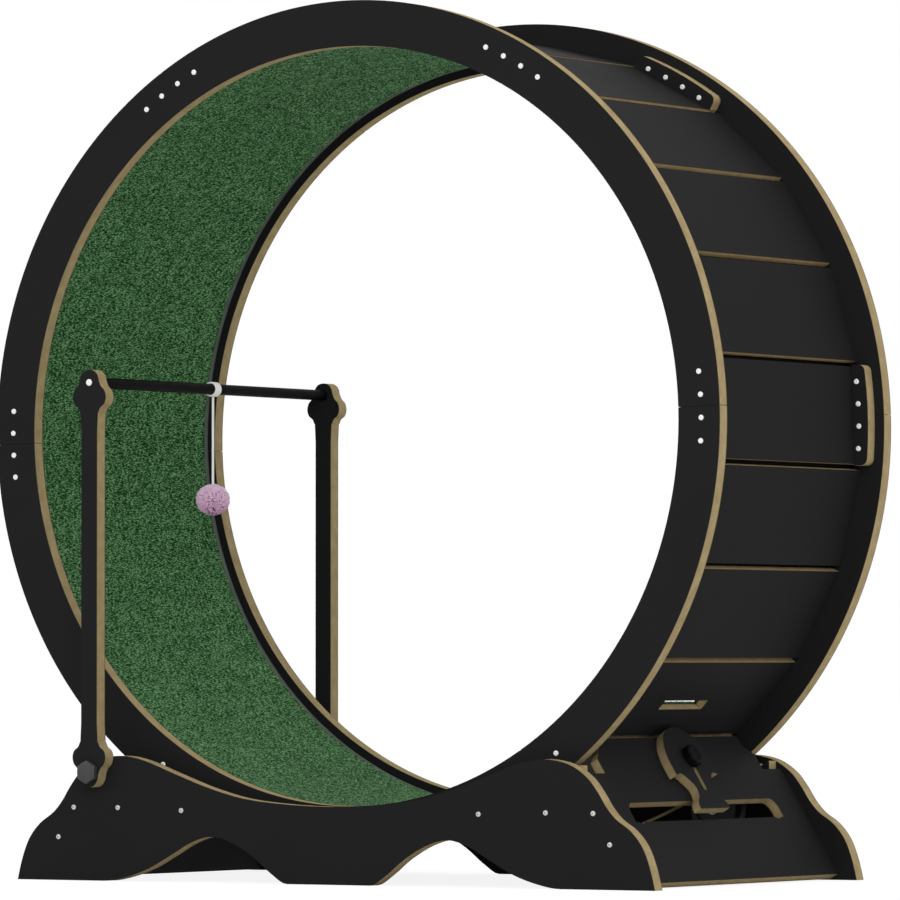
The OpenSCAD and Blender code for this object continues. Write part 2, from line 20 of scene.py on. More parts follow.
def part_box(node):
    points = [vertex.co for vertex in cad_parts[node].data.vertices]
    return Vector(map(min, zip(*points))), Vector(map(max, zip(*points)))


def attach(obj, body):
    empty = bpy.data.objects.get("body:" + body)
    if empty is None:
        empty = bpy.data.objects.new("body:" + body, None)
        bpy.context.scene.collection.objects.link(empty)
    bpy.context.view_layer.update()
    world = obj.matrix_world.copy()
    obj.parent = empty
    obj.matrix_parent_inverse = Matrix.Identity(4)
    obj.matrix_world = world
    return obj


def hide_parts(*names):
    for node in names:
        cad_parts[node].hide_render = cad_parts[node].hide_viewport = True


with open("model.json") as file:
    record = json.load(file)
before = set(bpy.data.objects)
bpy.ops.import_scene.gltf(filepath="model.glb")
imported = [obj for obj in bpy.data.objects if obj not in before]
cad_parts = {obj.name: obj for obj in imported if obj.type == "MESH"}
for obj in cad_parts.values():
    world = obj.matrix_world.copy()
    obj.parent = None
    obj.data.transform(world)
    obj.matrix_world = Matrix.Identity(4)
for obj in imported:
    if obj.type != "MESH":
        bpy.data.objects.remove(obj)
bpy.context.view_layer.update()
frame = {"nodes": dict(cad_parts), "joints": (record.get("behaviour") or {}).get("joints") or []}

nodes = frame["nodes"]
joints = {joint["name"]: joint for joint in frame["joints"]}
print("nodes:", len(nodes), "joints:", len(joints))

# %% [markdown]
# ## The camera
#
# The camera stands low and far away, to the right of the wheel's front, with a long lens.
# From there both rings, the carpet on the left and the planks' backs on the right show.
# A long lens keeps the rings nearly round, which a near camera would not do.

# %% Place the camera
CAMERA_AT = (4.69315, -7.67469, 0.26470)
CAMERA_TILT = 91.5832
CAMERA_TURN = 31.3704
LENS_MM = 300.845

camera_data = bpy.data.cameras.new("camera")
camera_data.lens = LENS_MM
camera_data.sensor_width = 36
camera_data.clip_end = 100
camera = bpy.data.objects.new("camera", camera_data)
camera.location = CAMERA_AT
camera.rotation_euler = (math.radians(CAMERA_TILT), 0, math.radians(CAMERA_TURN))
bpy.context.scene.collection.objects.link(camera)
bpy.context.scene.camera = camera
print("camera lens:", camera_data.lens, "mm")

# %% [markdown]
# ## Places that the pieces share
#
# The looks follow the boards, so the script needs to know where each board's two faces
# are. Most of it comes from the frame: the hub is the wheel's joint, and the boxes of the
# nodes give the boards' faces. Only what the frame doesn't say, such as the slope of the
# end panels, is written down. Lengths are in metres, and MM turns millimetres into them.

# %% Name the shared places
MM = 0.001
BOARD_T = 18 * MM
HUB = Vector(joints["wheel_spin"]["pos_m"])
WHEEL_TURN = math.radians(1.8)
PLANK_STEP = math.radians(15)
SEAM_STEP = math.radians(60)
TRACK_R = 458 * MM
PLANK_T = 10 * MM
PANEL_SLOPE = math.radians(58.2)
PANEL_FOOT = 412 * MM
PANEL_T = 12 * MM
LATCH_T = 12 * MM
FACE_GAP = 0.3 * MM

RING_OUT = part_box("rear_ring_1")[1].y
RING_IN = RING_OUT - BOARD_T
PLATE_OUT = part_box("rear_side_plate")[1].y
POST_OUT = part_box("rear_post")[1].y


def round_wheel(angle, radius, y):
    """The point at that angle and radius of the wheel."""
    angle += WHEEL_TURN
    return HUB + Vector((radius * math.cos(angle), y, radius * math.sin(angle)))


def on_panel(across, up, out):
    """The point on the right end panel, from its foot's middle line."""
    slope = Vector((-math.cos(PANEL_SLOPE), 0, math.sin(PANEL_SLOPE)))
    away = Vector((math.sin(PANEL_SLOPE), 0, math.cos(PANEL_SLOPE)))
    return Vector((PANEL_FOOT, across, 0)) + up * slope + out * away


print("ring faces at", round(RING_IN, 4), round(RING_OUT, 4), "m; hub at", tuple(HUB))

# %% [markdown]
# ## Small helpers for materials
#
# Every material here is a tree of nodes, and most trees repeat the same few moves: add a
# node, fill or link its sockets, do a sum, mix two values. Short helpers do that, so that
# each material below reads as a recipe. Colours are written as a paint card would give
# them, from 0 to 255, and turned into the linear values that the shader works in.

# %% Write the node helpers
def paint(red, green, blue):
    """A colour from 0 to 255 a channel, as linear values."""
    parts = [channel / 255 for channel in (red, green, blue)]
    return (*[((p + 0.055) / 1.055) ** 2.4 if p > 0.04045 else p / 12.92 for p in parts], 1)


def put(tree, kind, sockets=None, **settings):
    """Adds a shader node, with its settings and with each socket set or linked."""
    node = tree.nodes.new("ShaderNode" + kind)
    for name, value in settings.items():
        setattr(node, name, value)
    for key, value in (sockets or {}).items():
        if isinstance(value, bpy.types.NodeSocket):
            tree.links.new(value, node.inputs[key])
        else:
            node.inputs[key].default_value = value
    return node


def maths(tree, operation, *values):
    """A sum of sockets and numbers."""
    return put(tree, "Math", dict(enumerate(values)), operation=operation).outputs[0]


def ramp_between(tree, value, low, high, start=0.0, end=1.0, smooth=True):
    """A value that goes from start to end as the input goes from low to high."""
    kind = "SMOOTHSTEP" if smooth else "LINEAR"
    sockets = {"Value": value, "From Min": low, "From Max": high, "To Min": start,
               "To Max": end}
    return put(tree, "MapRange", sockets, interpolation_type=kind).outputs["Result"]


def blend_numbers(tree, share, first, second):
    """Two numbers mixed by a share from 0 to 1, on the Mix node's number sockets."""
    return put(tree, "Mix", {0: share, 2: first, 3: second}).outputs[0]


def blend_colours(tree, share, first, second):
    """Two colours mixed by a share from 0 to 1, on the Mix node's colour sockets."""
    return put(tree, "Mix", {0: share, 6: first, 7: second}, data_type="RGBA").outputs[2]


def grain(tree, vector, waves, detail, roughness=0.5):
    """Noise from 0 to 1 with that many waves in a metre."""
    sockets = {"Vector": vector, "Scale": waves, "Detail": detail, "Roughness": roughness}
    return put(tree, "TexNoise", sockets).outputs["Fac"]


print("a middle grey of 128 is", round(paint(128, 128, 128)[0], 3), "in linear light")

# %% [markdown]
# ## Node groups and whole materials
#
# An effect that several materials share is built once, as a node group with named sockets,
# and each material places it with its own values. The group puts out a colour, a roughness
# and a height, which change from point to point. What is the same all over a surface, such
# as how metallic it is, is set on the material's own Principled shader.

# %% Write the material helpers
def new_group(name, given, made):
    """A shader node group with those named inputs and outputs."""
    group = bpy.data.node_groups.new(name, "ShaderNodeTree")
    new_socket = group.interface.new_socket
    for socket, kind, value in given:
        added = new_socket(name=socket, in_out="INPUT", socket_type="NodeSocket" + kind)
        if value is not None:
            added.default_value = value
    for socket, kind in made:
        new_socket(name=socket, in_out="OUTPUT", socket_type="NodeSocket" + kind)
    start = group.nodes.new("NodeGroupInput")
    end = group.nodes.new("NodeGroupOutput")
    return group, start.outputs, end.inputs


def use_group(tree, group, sockets):
    """Places a node group in a material."""
    return put(tree, "Group", sockets, node_tree=group)


def new_material(name, **constants):
    """A material with one Principled shader, whose constant sockets are set by name."""
    material = bpy.data.materials.new(name)
    material.use_nodes = True
    tree = material.node_tree
    shader = tree.nodes["Principled BSDF"]
    for key, value in constants.items():
        shader.inputs[key.replace("_", " ")].default_value = value
    return material, tree, shader


def place(tree):
    """The point on the piece, in metres, from the object's own coordinates."""
    return tree.nodes.new("ShaderNodeTexCoord").outputs["Object"]


def wear(tree, shader, finish, depth):
    """Links a finish group's colour, roughness and height to the shader."""
    tree.links.new(finish.outputs["Color"], shader.inputs["Base Color"])
    tree.links.new(finish.outputs["Roughness"], shader.inputs["Roughness"])
    bump = put(tree, "Bump", {"Height": finish.outputs["Height"], "Distance": depth})
    tree.links.new(bump.outputs["Normal"], shader.inputs["Normal"])


print("materials before the first finish:", len(bpy.data.materials))

# %% [markdown]
# ## Laminated board
#
# The boards are medium-density fibreboard with a thin black melamine sheet on each face,
# cut on a router and left bare at the edges. A cut edge shows tan fibres, a little darker
# where the cutter has burned them next to the sheets. One group makes both looks: it is
# told how far a point lies from the board's middle plane, and shows fibres wherever that
# is inside the two sheets. So every hole, slot and curve gets its bare edge by itself.
# The depths of the sheet and of the burn are in millimetres here, and the noises are named
# by how many waves they have in a metre.

# %% Make the board group
SHEET_DEEP = 0.3
SHEET_FADE = 0.4
BURN_DEEP = 1.9
FIBRE_WAVES = 950
PATCH_WAVES = 70
CLOUD_WAVES = 9
PEEL_WAVES = 1500
FIBRE_SHARE = 0.62
PEEL_SHARE = 0.12
BURN_LEAST, BURN_SPREAD = 0.45, 0.5
SATIN, SATIN_SPREAD = 0.5, 0.12
DULL, DULL_SPREAD = 0.78, 0.15
RAW_DARK = paint(138, 119, 82)
RAW_PALE = paint(190, 172, 132)
BURNED = paint(80, 60, 36)
SHEET_DARK = paint(33, 33, 34)
SHEET_PALE = paint(36, 36, 37)


def make_board_group():
    """Black sheet where the point is near a face of the board, bare fibres inside."""
    group, given, made = new_group(
        "Laminated board",
        [("Vector", "Vector", None), ("Across", "Float", 0.0), ("Half", "Float", 0.009)],
        [("Color", "Color"), ("Roughness", "Float"), ("Height", "Float")],
    )
    point = given["Vector"]
    under = maths(group, "SUBTRACT", given["Half"], given["Across"])
    under = maths(group, "MULTIPLY", under, 1 / MM)
    fade_from, fade_to = SHEET_DEEP * (1 - SHEET_FADE), SHEET_DEEP * (1 + SHEET_FADE)
    bare = ramp_between(group, under, fade_from, fade_to)
    burn = ramp_between(group, under, SHEET_DEEP, BURN_DEEP, start=1, end=0)

    fibres = grain(group, point, FIBRE_WAVES, detail=4, roughness=0.65)
    patches = grain(group, point, PATCH_WAVES, detail=3)
    tone = maths(group, "MULTIPLY", patches, 1 - FIBRE_SHARE)
    tone = maths(group, "MULTIPLY_ADD", fibres, FIBRE_SHARE, tone)
    tone = ramp_between(group, tone, 0.28, 0.72, smooth=False)
    fibre = blend_colours(group, tone, RAW_DARK, RAW_PALE)
    scorch = maths(group, "MULTIPLY_ADD", patches, BURN_SPREAD, BURN_LEAST)
    scorch = maths(group, "MULTIPLY", burn, scorch)
    fibre = blend_colours(group, scorch, fibre, BURNED)

    cloud = grain(group, point, CLOUD_WAVES, detail=2)
    peel = grain(group, point, PEEL_WAVES, detail=2)
    sheet = blend_colours(group, cloud, SHEET_DARK, SHEET_PALE)
    group.links.new(blend_colours(group, bare, sheet, fibre), made["Color"])

    satin = maths(group, "MULTIPLY_ADD", cloud, SATIN_SPREAD, SATIN)
    dull = maths(group, "MULTIPLY_ADD", fibres, DULL_SPREAD, DULL)
    group.links.new(blend_numbers(group, bare, satin, dull), made["Roughness"])
    orange_peel = maths(group, "MULTIPLY", peel, PEEL_SHARE)
    group.links.new(blend_numbers(group, bare, orange_peel, fibres), made["Height"])
    return group


BOARD_GROUP = make_board_group()
print("group:", BOARD_GROUP.name, "nodes:", len(BOARD_GROUP.nodes))

# %% [markdown]
# ## One board material for each set of boards
#
# Boards that stand upright lie between two planes of constant Y, the same on both sides of
# the wheel, so the distance across them is a short sum on Y. The end panels and the latch
# slope, so theirs is measured along the slope's normal. The planks go round the wheel: the
# point's angle is folded into one plank's share, and its distance along that plank's
# normal is what counts. Only this sum differs from one material to the next.

# %% Make the board materials
BOARD_GLOSS = 0.02
BOARD_RELIEF = 0.12 * MM


def board_material(name, across, half):
    """A board finish, where across(tree, x, y, z) is the signed distance from its middle."""
    material, tree, shader = new_material(name, Specular_IOR_Level=BOARD_GLOSS)
    point = place(tree)
    parts = put(tree, "SeparateXYZ", {"Vector": point}).outputs
    distance = maths(tree, "ABSOLUTE", across(tree, parts["X"], parts["Y"], parts["Z"]))
    sockets = {"Vector": point, "Across": distance, "Half": half}
    wear(tree, shader, use_group(tree, BOARD_GROUP, sockets), BOARD_RELIEF)
    return material


def upright(middle):
    """For boards on both sides of the wheel, with their middles that far from it."""
    return lambda tree, x, y, z: maths(tree, "SUBTRACT", maths(tree, "ABSOLUTE", y), middle)


def sloping(out):
    """For boards along the end panels, on either end, that far out of the panel's middle."""

    def across(tree, x, y, z):
        run = maths(tree, "SUBTRACT", maths(tree, "ABSOLUTE", x), PANEL_FOOT)
        run = maths(tree, "MULTIPLY", run, math.sin(PANEL_SLOPE))
        total = maths(tree, "MULTIPLY_ADD", z, math.cos(PANEL_SLOPE), run)
        return maths(tree, "SUBTRACT", total, out)

    return across


def round_the_wheel(radius):
    """For the planks, whose middles lie that far from the hub."""

    def across(tree, x, y, z):
        up = maths(tree, "SUBTRACT", z, HUB.z)
        squares = maths(tree, "MULTIPLY_ADD", x, x, maths(tree, "MULTIPLY", up, up))
        reach = maths(tree, "SQRT", squares)
        angle = maths(tree, "ARCTAN2", up, x)
        angle = maths(tree, "ADD", angle, PLANK_STEP / 2 - WHEEL_TURN)
        share = maths(tree, "FLOORED_MODULO", angle, PLANK_STEP)
        share = maths(tree, "SUBTRACT", share, PLANK_STEP / 2)
        along = maths(tree, "MULTIPLY", reach, maths(tree, "COSINE", share))
        return maths(tree, "SUBTRACT", along, radius)

    return across


boards = {
    "ring board": (upright(RING_OUT - BOARD_T / 2), BOARD_T / 2),
    "splice board": (upright(RING_IN - BOARD_T / 2), BOARD_T / 2),
    "side board": (upright(PLATE_OUT - BOARD_T / 2), BOARD_T / 2),
    "bracket board": (upright(PLATE_OUT - BOARD_T * 3 / 2), BOARD_T / 2),
    "post board": (upright(POST_OUT - BOARD_T / 2), BOARD_T / 2),
    "panel board": (sloping(0), PANEL_T / 2),
    "latch board": (sloping(PANEL_T / 2 + FACE_GAP + LATCH_T / 2), LATCH_T / 2),
    "plank board": (round_the_wheel(TRACK_R + PLANK_T / 2), PLANK_T / 2),
}
board_materials = {name: board_material(name, *measure) for name, measure in boards.items()}
print("board materials:", len(board_materials))

# %% [markdown]
# ## Dress the boards
#
# The boards keep the shapes they were built with, because a routed edge is crisp. A node's
# mesh is never touched: the material goes on the object's own slot, over the mesh's.

# %% Give the boards their materials
def dress(node, material):
    """Puts a material on a node of the frame."""
    piece = nodes[node]
    for slot in piece.material_slots:
        slot.link = "OBJECT"
        slot.material = material


dressed = {
    "splice_plates": "splice board",
    "front_side_plate": "side board",
    "rear_side_plate": "side board",
    "roller_brackets": "bracket board",
    "front_post": "post board",
    "rear_post": "post board",
    "left_end_panel": "panel board",
    "right_end_panel": "panel board",
    "lock_latch": "latch board",
}
for side in ("front", "rear"):
    for number in range(1, 7):
        dressed[f"{side}_ring_{number}"] = "ring board"
for number in range(1, 25):
    dressed[f"plank_{number}"] = "plank board"
for node, finish in dressed.items():
    dress(node, board_materials[finish])
print("dressed boards:", len(dressed))

# %% [markdown]
# ## Moulded, painted and plated parts
#
# The bar is a dowel with black paint on it, the rollers are moulded black nylon, and the
# axles are zinc-plated steel. The same group serves them all, and later the screws, the
# knob and the string too: a fine grain that moves the colour a little, the roughness a
# little more, and leaves a trace of relief. What differs is the two colours, the two ends
# of the roughness, how fine the grain is and how deep.

# %% Make the moulded finish
BROAD_WAVES = 40


def make_moulded_group():
    """A finish between two colours and two roughnesses, by a fine and a broad grain."""
    group, given, made = new_group(
        "Fine grained finish",
        [
            ("Vector", "Vector", None),
            ("Dark", "Color", (0, 0, 0, 1)),
            ("Light", "Color", (1, 1, 1, 1)),
            ("Smoothest", "Float", 0.3),
            ("Roughest", "Float", 0.5),
            ("Scale", "Float", 800.0),
        ],
        [("Color", "Color"), ("Roughness", "Float"), ("Height", "Float")],
    )
    point = given["Vector"]
    fine = grain(group, point, given["Scale"], detail=3, roughness=0.55)
    broad = grain(group, point, BROAD_WAVES, detail=3)
    mixed = maths(group, "MULTIPLY_ADD", fine, 0.5, maths(group, "MULTIPLY", broad, 0.5))
    share = ramp_between(group, mixed, 0.3, 0.7)
    group.links.new(blend_colours(group, share, given["Dark"], given["Light"]), made["Color"])
    spread = maths(group, "SUBTRACT", given["Roughest"], given["Smoothest"])
    rough = maths(group, "MULTIPLY_ADD", share, spread, given["Smoothest"])
    group.links.new(rough, made["Roughness"])
    group.links.new(fine, made["Height"])
    return group


MOULDED_GROUP = make_moulded_group()


def moulded(name, colours, rough, waves, relief_mm, **constants):
    """A material of the fine grained finish."""
    material, tree, shader = new_material(name, **constants)
    sockets = {
        "Vector": place(tree),
        "Dark": paint(*colours[0]),
        "Light": paint(*colours[1]),
        "Smoothest": rough[0],
        "Roughest": rough[1],
        "Scale": waves,
    }
    wear(tree, shader, use_group(tree, MOULDED_GROUP, sockets), relief_mm * MM)
    return material


BAR_PAINT = moulded("black bar paint", [(10, 10, 11), (14, 14, 15)], rough=(0.45, 0.6),
                    waves=500, relief_mm=0.05, Specular_IOR_Level=0.03)
NYLON = moulded("black nylon", [(24, 24, 25), (34, 34, 35)], rough=(0.4, 0.55),
                waves=900, relief_mm=0.03, Specular_IOR_Level=0.3)
ZINC = moulded("zinc plate", [(150, 152, 156), (196, 197, 199)], rough=(0.25, 0.42),
               waves=700, relief_mm=0.02, Metallic=1.0)

dress("toy_bar", BAR_PAINT)
dress("bolts_and_nuts", ZINC)
for end in ("front_left", "front_right", "rear_left", "rear_right"):
    dress(f"roller_{end}", NYLON)
print("materials with this finish:", MOULDED_GROUP.users)

# %% [markdown]
# ## From a shape to a piece
#
# A screw, a bolt or a knob is easiest to model at the origin, with its axis along Z. Three
# helpers then bring it to its place: one gives the matrix that stands such a shape at a
# point and along an axis, one makes a bmesh with a copy for each matrix, and one turns a
# bmesh into a piece that rides on its body. Smooth shading hides the facets of its round
# parts, and edges sharper than a set angle stay crisp.

# %% Write the modelling helpers
TOLERANCE = 0.001 * MM


def stand(at, axis, turn=0.0):
    """The matrix that puts a shape drawn along Z at a point, along an axis."""
    aim = Vector(axis).to_track_quat("Z", "Y").to_matrix().to_4x4()
    return Matrix.Translation(at) @ aim @ Matrix.Rotation(turn, 4, "Z")


def copies(bm, places):
    """A bmesh with one copy of bm for each matrix."""
    pattern = bpy.data.meshes.new("pattern")
    bm.to_mesh(pattern)
    bm.free()
    many = bmesh.new()
    for matrix in places:
        done = len(many.verts)
        many.from_mesh(pattern)
        many.verts.ensure_lookup_table()
        bmesh.ops.transform(many, matrix=matrix, verts=many.verts[done:])
    bpy.data.meshes.remove(pattern)
    return many


def add_piece(name, bm, materials, body, smooth_under):
    """Makes the bmesh a piece that rides on a body, with its materials."""
    mesh = bpy.data.meshes.new(name)
    bmesh.ops.recalc_face_normals(bm, faces=bm.faces)
    bm.to_mesh(mesh)
    bm.free()
    for material in materials:
        mesh.materials.append(material)
    mesh.shade_smooth()
    mesh.set_sharp_from_angle(angle=math.radians(smooth_under))
    piece = bpy.data.objects.new(name, mesh)
    bpy.context.scene.collection.objects.link(piece)
    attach(piece, body)
    print(name, "faces:", len(mesh.polygons))
    return piece


stood = stand((0, 0, 0), (0, 1, 0)) @ Vector((0, 0, 1))
print("the point 1 above the origin, stood along Y:", [round(value, 3) for value in stood])

# %% [markdown]
# ## Screws
#
# Every screw shows as a small white domed head with a six-sided socket. The head starts as
# a disc, and its rim is extruded up and drawn in, ring by ring, over the dome. The next
# ring is drawn in to a hexagon, the one after it goes down into the socket, and one face
# closes it there. The faces in the socket get the second material, which on the base screws
# is a darker grey, painted shade in the socket. A plain shank goes below. The seams of the
# rings have a head at both ends of each shank, because the screws there are sleeve and screw
# pairs.

# %% Model a screw
HEAD_H = 1.8 * MM
SHANK_R = 2 * MM
SOCKET_R = 1.5 * MM
SOCKET_H = 1.1 * MM
HEAD_SIDES = 18
DOME = [(1.0, 0.3), (0.94, 0.62), (0.78, 0.88), (0.55, 1.0)]


def hexagon(angle, corner_r):
    """The radius of a hexagon with a corner at angle 0."""
    fold = angle % (math.pi / 3) - math.pi / 6
    return corner_r * math.cos(math.pi / 6) / math.cos(fold)


def grow_ring(bm, edges, shape):
    """Extrudes a ring of edges, and moves each new vertex to shape(angle)."""
    grown = bmesh.ops.extrude_edge_only(bm, edges=edges)["geom"]
    for vert in (item for item in grown if isinstance(item, bmesh.types.BMVert)):
        angle = math.atan2(vert.co.y, vert.co.x)
        radius, height = shape(angle)
        vert.co = (radius * math.cos(angle), radius * math.sin(angle), height)
    return [item for item in grown if isinstance(item, bmesh.types.BMEdge)]


def add_head(bm, head_r, at, facing):
    """Adds a domed head with a socket, from a height, facing up (1) or down (-1)."""
    disc = bmesh.ops.create_circle(bm, segments=HEAD_SIDES, radius=head_r, cap_ends=True)
    head = set(disc["verts"])
    ring = [edge for edge in bm.edges if head.issuperset(edge.verts)]
    for share, rise in DOME:
        ring = grow_ring(bm, ring, lambda angle: (head_r * share, HEAD_H * rise))
        head.update(vert for edge in ring for vert in edge.verts)
    for height in (HEAD_H, HEAD_H - SOCKET_H):
        ring = grow_ring(bm, ring, lambda angle: (hexagon(angle, SOCKET_R), height))
        head.update(vert for edge in ring for vert in edge.verts)
    bmesh.ops.contextual_create(bm, geom=ring)
    for vert in head:
        vert.co.z = at + facing * vert.co.z


def screw(length, head_r, both_ends=False):
    """A screw along Z with its head's seat at height 0 and its shank below."""
    bm = bmesh.new()
    add_head(bm, head_r, 0, 1)
    if both_ends:
        add_head(bm, head_r, -length, -1)
    # The socket's faces take the second slot, which on the base screws holds painted shade.
    for face in bm.faces:
        if all(vert.co.xy.length < SOCKET_R + TOLERANCE for vert in face.verts):
            face.material_index = 1
    middle = Matrix.Translation((0, 0, -length / 2))
    bmesh.ops.create_cone(bm, cap_ends=True, segments=10, radius1=SHANK_R, radius2=SHANK_R,
                          depth=length, matrix=middle)
    return bm


WHITE_LACQUER = moulded("white lacquer", [(249, 249, 248), (255, 255, 254)],
                        rough=(0.28, 0.42), waves=900, relief_mm=0.02)
GREY_LACQUER = moulded("grey lacquer", [(214, 214, 213), (226, 226, 225)],
                       rough=(0.28, 0.42), waves=900, relief_mm=0.02)
# A darker grey for the base screws' sockets: painted shade in the socket.
SOCKET_SHADE = moulded("painted socket shade", [(184, 184, 184), (204, 204, 203)],
                      rough=(0.5, 0.7), waves=1200, relief_mm=0.02, Specular_IOR_Level=0.3)
print("screw finishes:", WHITE_LACQUER.name, GREY_LACQUER.name, SOCKET_SHADE.name)

# %% [markdown]
# The rings' screws sit four to a seam, in a row across it. Each screw is turned by another
# amount, as screws are when someone drives them in by hand. The random turns start from a
# fixed number, so every run of the script gives the same ones.

# %% Place the ring screws
SEAM_R = 476 * MM
SEAM_PITCH = 26.5 * MM
SEAM_HEAD_R = 3.2 * MM

turns = random.Random(11)
seam_places = []
for seam in range(6):
    for row in range(4):
        angle = seam * SEAM_STEP + (row - 1.5) * SEAM_PITCH / SEAM_R
        for side in (-1, 1):
            at = round_wheel(angle, SEAM_R, side * RING_OUT)
            seam_places.append(stand(at, (0, side, 0), turns.uniform(0, math.tau)))
seam_screws = copies(screw(2 * BOARD_T, SEAM_HEAD_R, both_ends=True), seam_places)
piece = add_piece("seam_screws", seam_screws, [WHITE_LACQUER, WHITE_LACQUER], "wheel",
                  smooth_under=35)
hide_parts("ring_screws")

# %% [markdown]
# Four screws hold each corner of the base: two go into the roller bracket, and two into the
# edge of the end panel, so those two follow its slope. The base has the smallest heads, and
# they are greyer, with a darker grey in the socket as painted shade. One more goes through
# each post into the bar.

# %% Place the base and bar screws
BRACKET_SCREWS = [(295 * MM, 87 * MM), (205 * MM, 84.5 * MM)]
PANEL_SCREW_Z = [87 * MM, 51.5 * MM]
BASE_HEAD_R = 3 * MM
BASE_SCREW_L = 32 * MM
BAR_HEAD_R = 4 * MM
BAR_SCREW_L = 38 * MM
POST_X = sum(corner.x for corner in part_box("rear_post")) / 2
BAR_Z = joints["toy_swing"]["pos_m"][2]

panel_screws = [(PANEL_FOOT - z / math.tan(PANEL_SLOPE), z) for z in PANEL_SCREW_Z]
base_places = []
for x, z in BRACKET_SCREWS + panel_screws:
    for end in (-1, 1):
        for side in (-1, 1):
            at = (end * x, side * PLATE_OUT, z)
            base_places.append(stand(at, (0, side, 0), turns.uniform(0, math.tau)))
base_screws = copies(screw(BASE_SCREW_L, BASE_HEAD_R), base_places)
piece = add_piece("corner_screws", base_screws, [GREY_LACQUER, SOCKET_SHADE], "base",
                  smooth_under=35)
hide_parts("base_screws")

bar_places = []
for side in (-1, 1):
    bar_places.append(stand((POST_X, side * POST_OUT, BAR_Z), (0, side, 0), turn=0.3))
post_screws = copies(screw(BAR_SCREW_L, BAR_HEAD_R), bar_places)
piece = add_piece("post_screws", post_screws, [WHITE_LACQUER, WHITE_LACQUER], "toy_frame",
                  smooth_under=35)
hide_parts("bar_screws")

# %% [markdown]
# ## Pivot bolts
#
# The posts turn on two black bolts with large hexagon heads. A real head is a hexagon with
# its top corners turned off, so the flats end in arcs. The ring of edges is grown along
# that shape: up the flats to a height that drops towards the corners, then in to a circle,
# then over a small step to the flat top.

# %% Model the pivot bolts
BOLT_R = 4 * MM
PIVOT_Z = joints["frame_tilt"]["pos_m"][2]
CAP_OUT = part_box("frame_bolts")[1].y
CAP_H = 7 * MM
CAP_CORNER_R = 14 * MM
CAP_CIRCLE_R = CAP_CORNER_R * math.cos(math.pi / 6) * 0.97
CAP_SIDES = 60
CAP_STEP = 0.3 * MM
CAP_SLOPE = math.radians(28)
WASHER_R = CAP_CIRCLE_R * 0.98
WASHER_H = 0.4 * MM


def cap_r(angle):
    """The radius of the head's flats."""
    return hexagon(angle, CAP_CORNER_R)


def cap_top(angle):
    """The height at which the flats end, lowest at the corners."""
    return CAP_H - CAP_STEP - (cap_r(angle) - CAP_CIRCLE_R) * math.tan(CAP_SLOPE)


CAP_SHAPE = [
    lambda angle: (BOLT_R, 0),
    lambda angle: (WASHER_R, 0),
    lambda angle: (WASHER_R, WASHER_H),
    lambda angle: (cap_r(angle), WASHER_H),
    lambda angle: (cap_r(angle), cap_top(angle)),
    lambda angle: (CAP_CIRCLE_R, CAP_H - CAP_STEP),
    lambda angle: (CAP_CIRCLE_R * 0.94, CAP_H),
    lambda angle: (CAP_CIRCLE_R * 0.5, CAP_H),
]


def pivot_bolt():
    """A bolt along Z with its head's seat at height 0."""
    bm = bmesh.new()
    bmesh.ops.create_circle(bm, segments=CAP_SIDES, radius=BOLT_R, cap_ends=False)
    foot_z = PLATE_OUT - BOARD_T - (CAP_OUT - CAP_H)
    bmesh.ops.translate(bm, verts=bm.verts, vec=(0, 0, foot_z))
    ring = bm.edges[:]
    bmesh.ops.contextual_create(bm, geom=ring)
    for shape in CAP_SHAPE:
        ring = grow_ring(bm, ring, shape)
    bmesh.ops.contextual_create(bm, geom=ring)
    return bm


BLACK_STEEL = moulded("black steel", [(48, 48, 49), (66, 66, 67)], rough=(0.38, 0.55),
                      waves=1200, relief_mm=0.04, Specular_IOR_Level=0.4)
bolt_places = []
for side in (-1, 1):
    at = (POST_X, side * (CAP_OUT - CAP_H), PIVOT_Z)
    bolt_places.append(stand(at, (0, side, 0), turn=math.pi / 6))
piece = add_piece("pivot_bolts", copies(pivot_bolt(), bolt_places), [BLACK_STEEL],
                  "base", smooth_under=25)
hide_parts("frame_bolts")

# %% [markdown]
# ## The lock knob
#
# A moulded knob clamps the latch. Eight shallow flutes give the fingers a hold, and all of
# its edges are round, as a mould leaves them. The ring of edges follows a lobed outline
# whose radius dips where a flute passes. The top edge is drawn over in small steps, and the
# middle of the top is sunk a little.

# %% Model the knob
KNOB_UP = 162 * MM
KNOB_R = 13.5 * MM
KNOB_H = 10 * MM
FLUTES = 8
FLUTE_DEPTH = 1.5 * MM
FLUTE_SHARP = 1.5
KNOB_SIDES = 96
KNOB_SEAT = PANEL_T / 2 + LATCH_T + 2 * FACE_GAP
KNOB_TOP = KNOB_SEAT + KNOB_H
KNOB_EDGE = 2.2 * MM
EDGE_STEPS = 5
BEVEL = 0.6 * MM
SINK_R = 7.4 * MM
CENTRE_R = 3 * MM
STUD_IN = PANEL_T / 2 + 8 * MM


def lobes(angle):
    """The knob's radius at an angle."""
    return KNOB_R - FLUTE_DEPTH * max(0.0, math.cos(FLUTES * angle)) ** FLUTE_SHARP


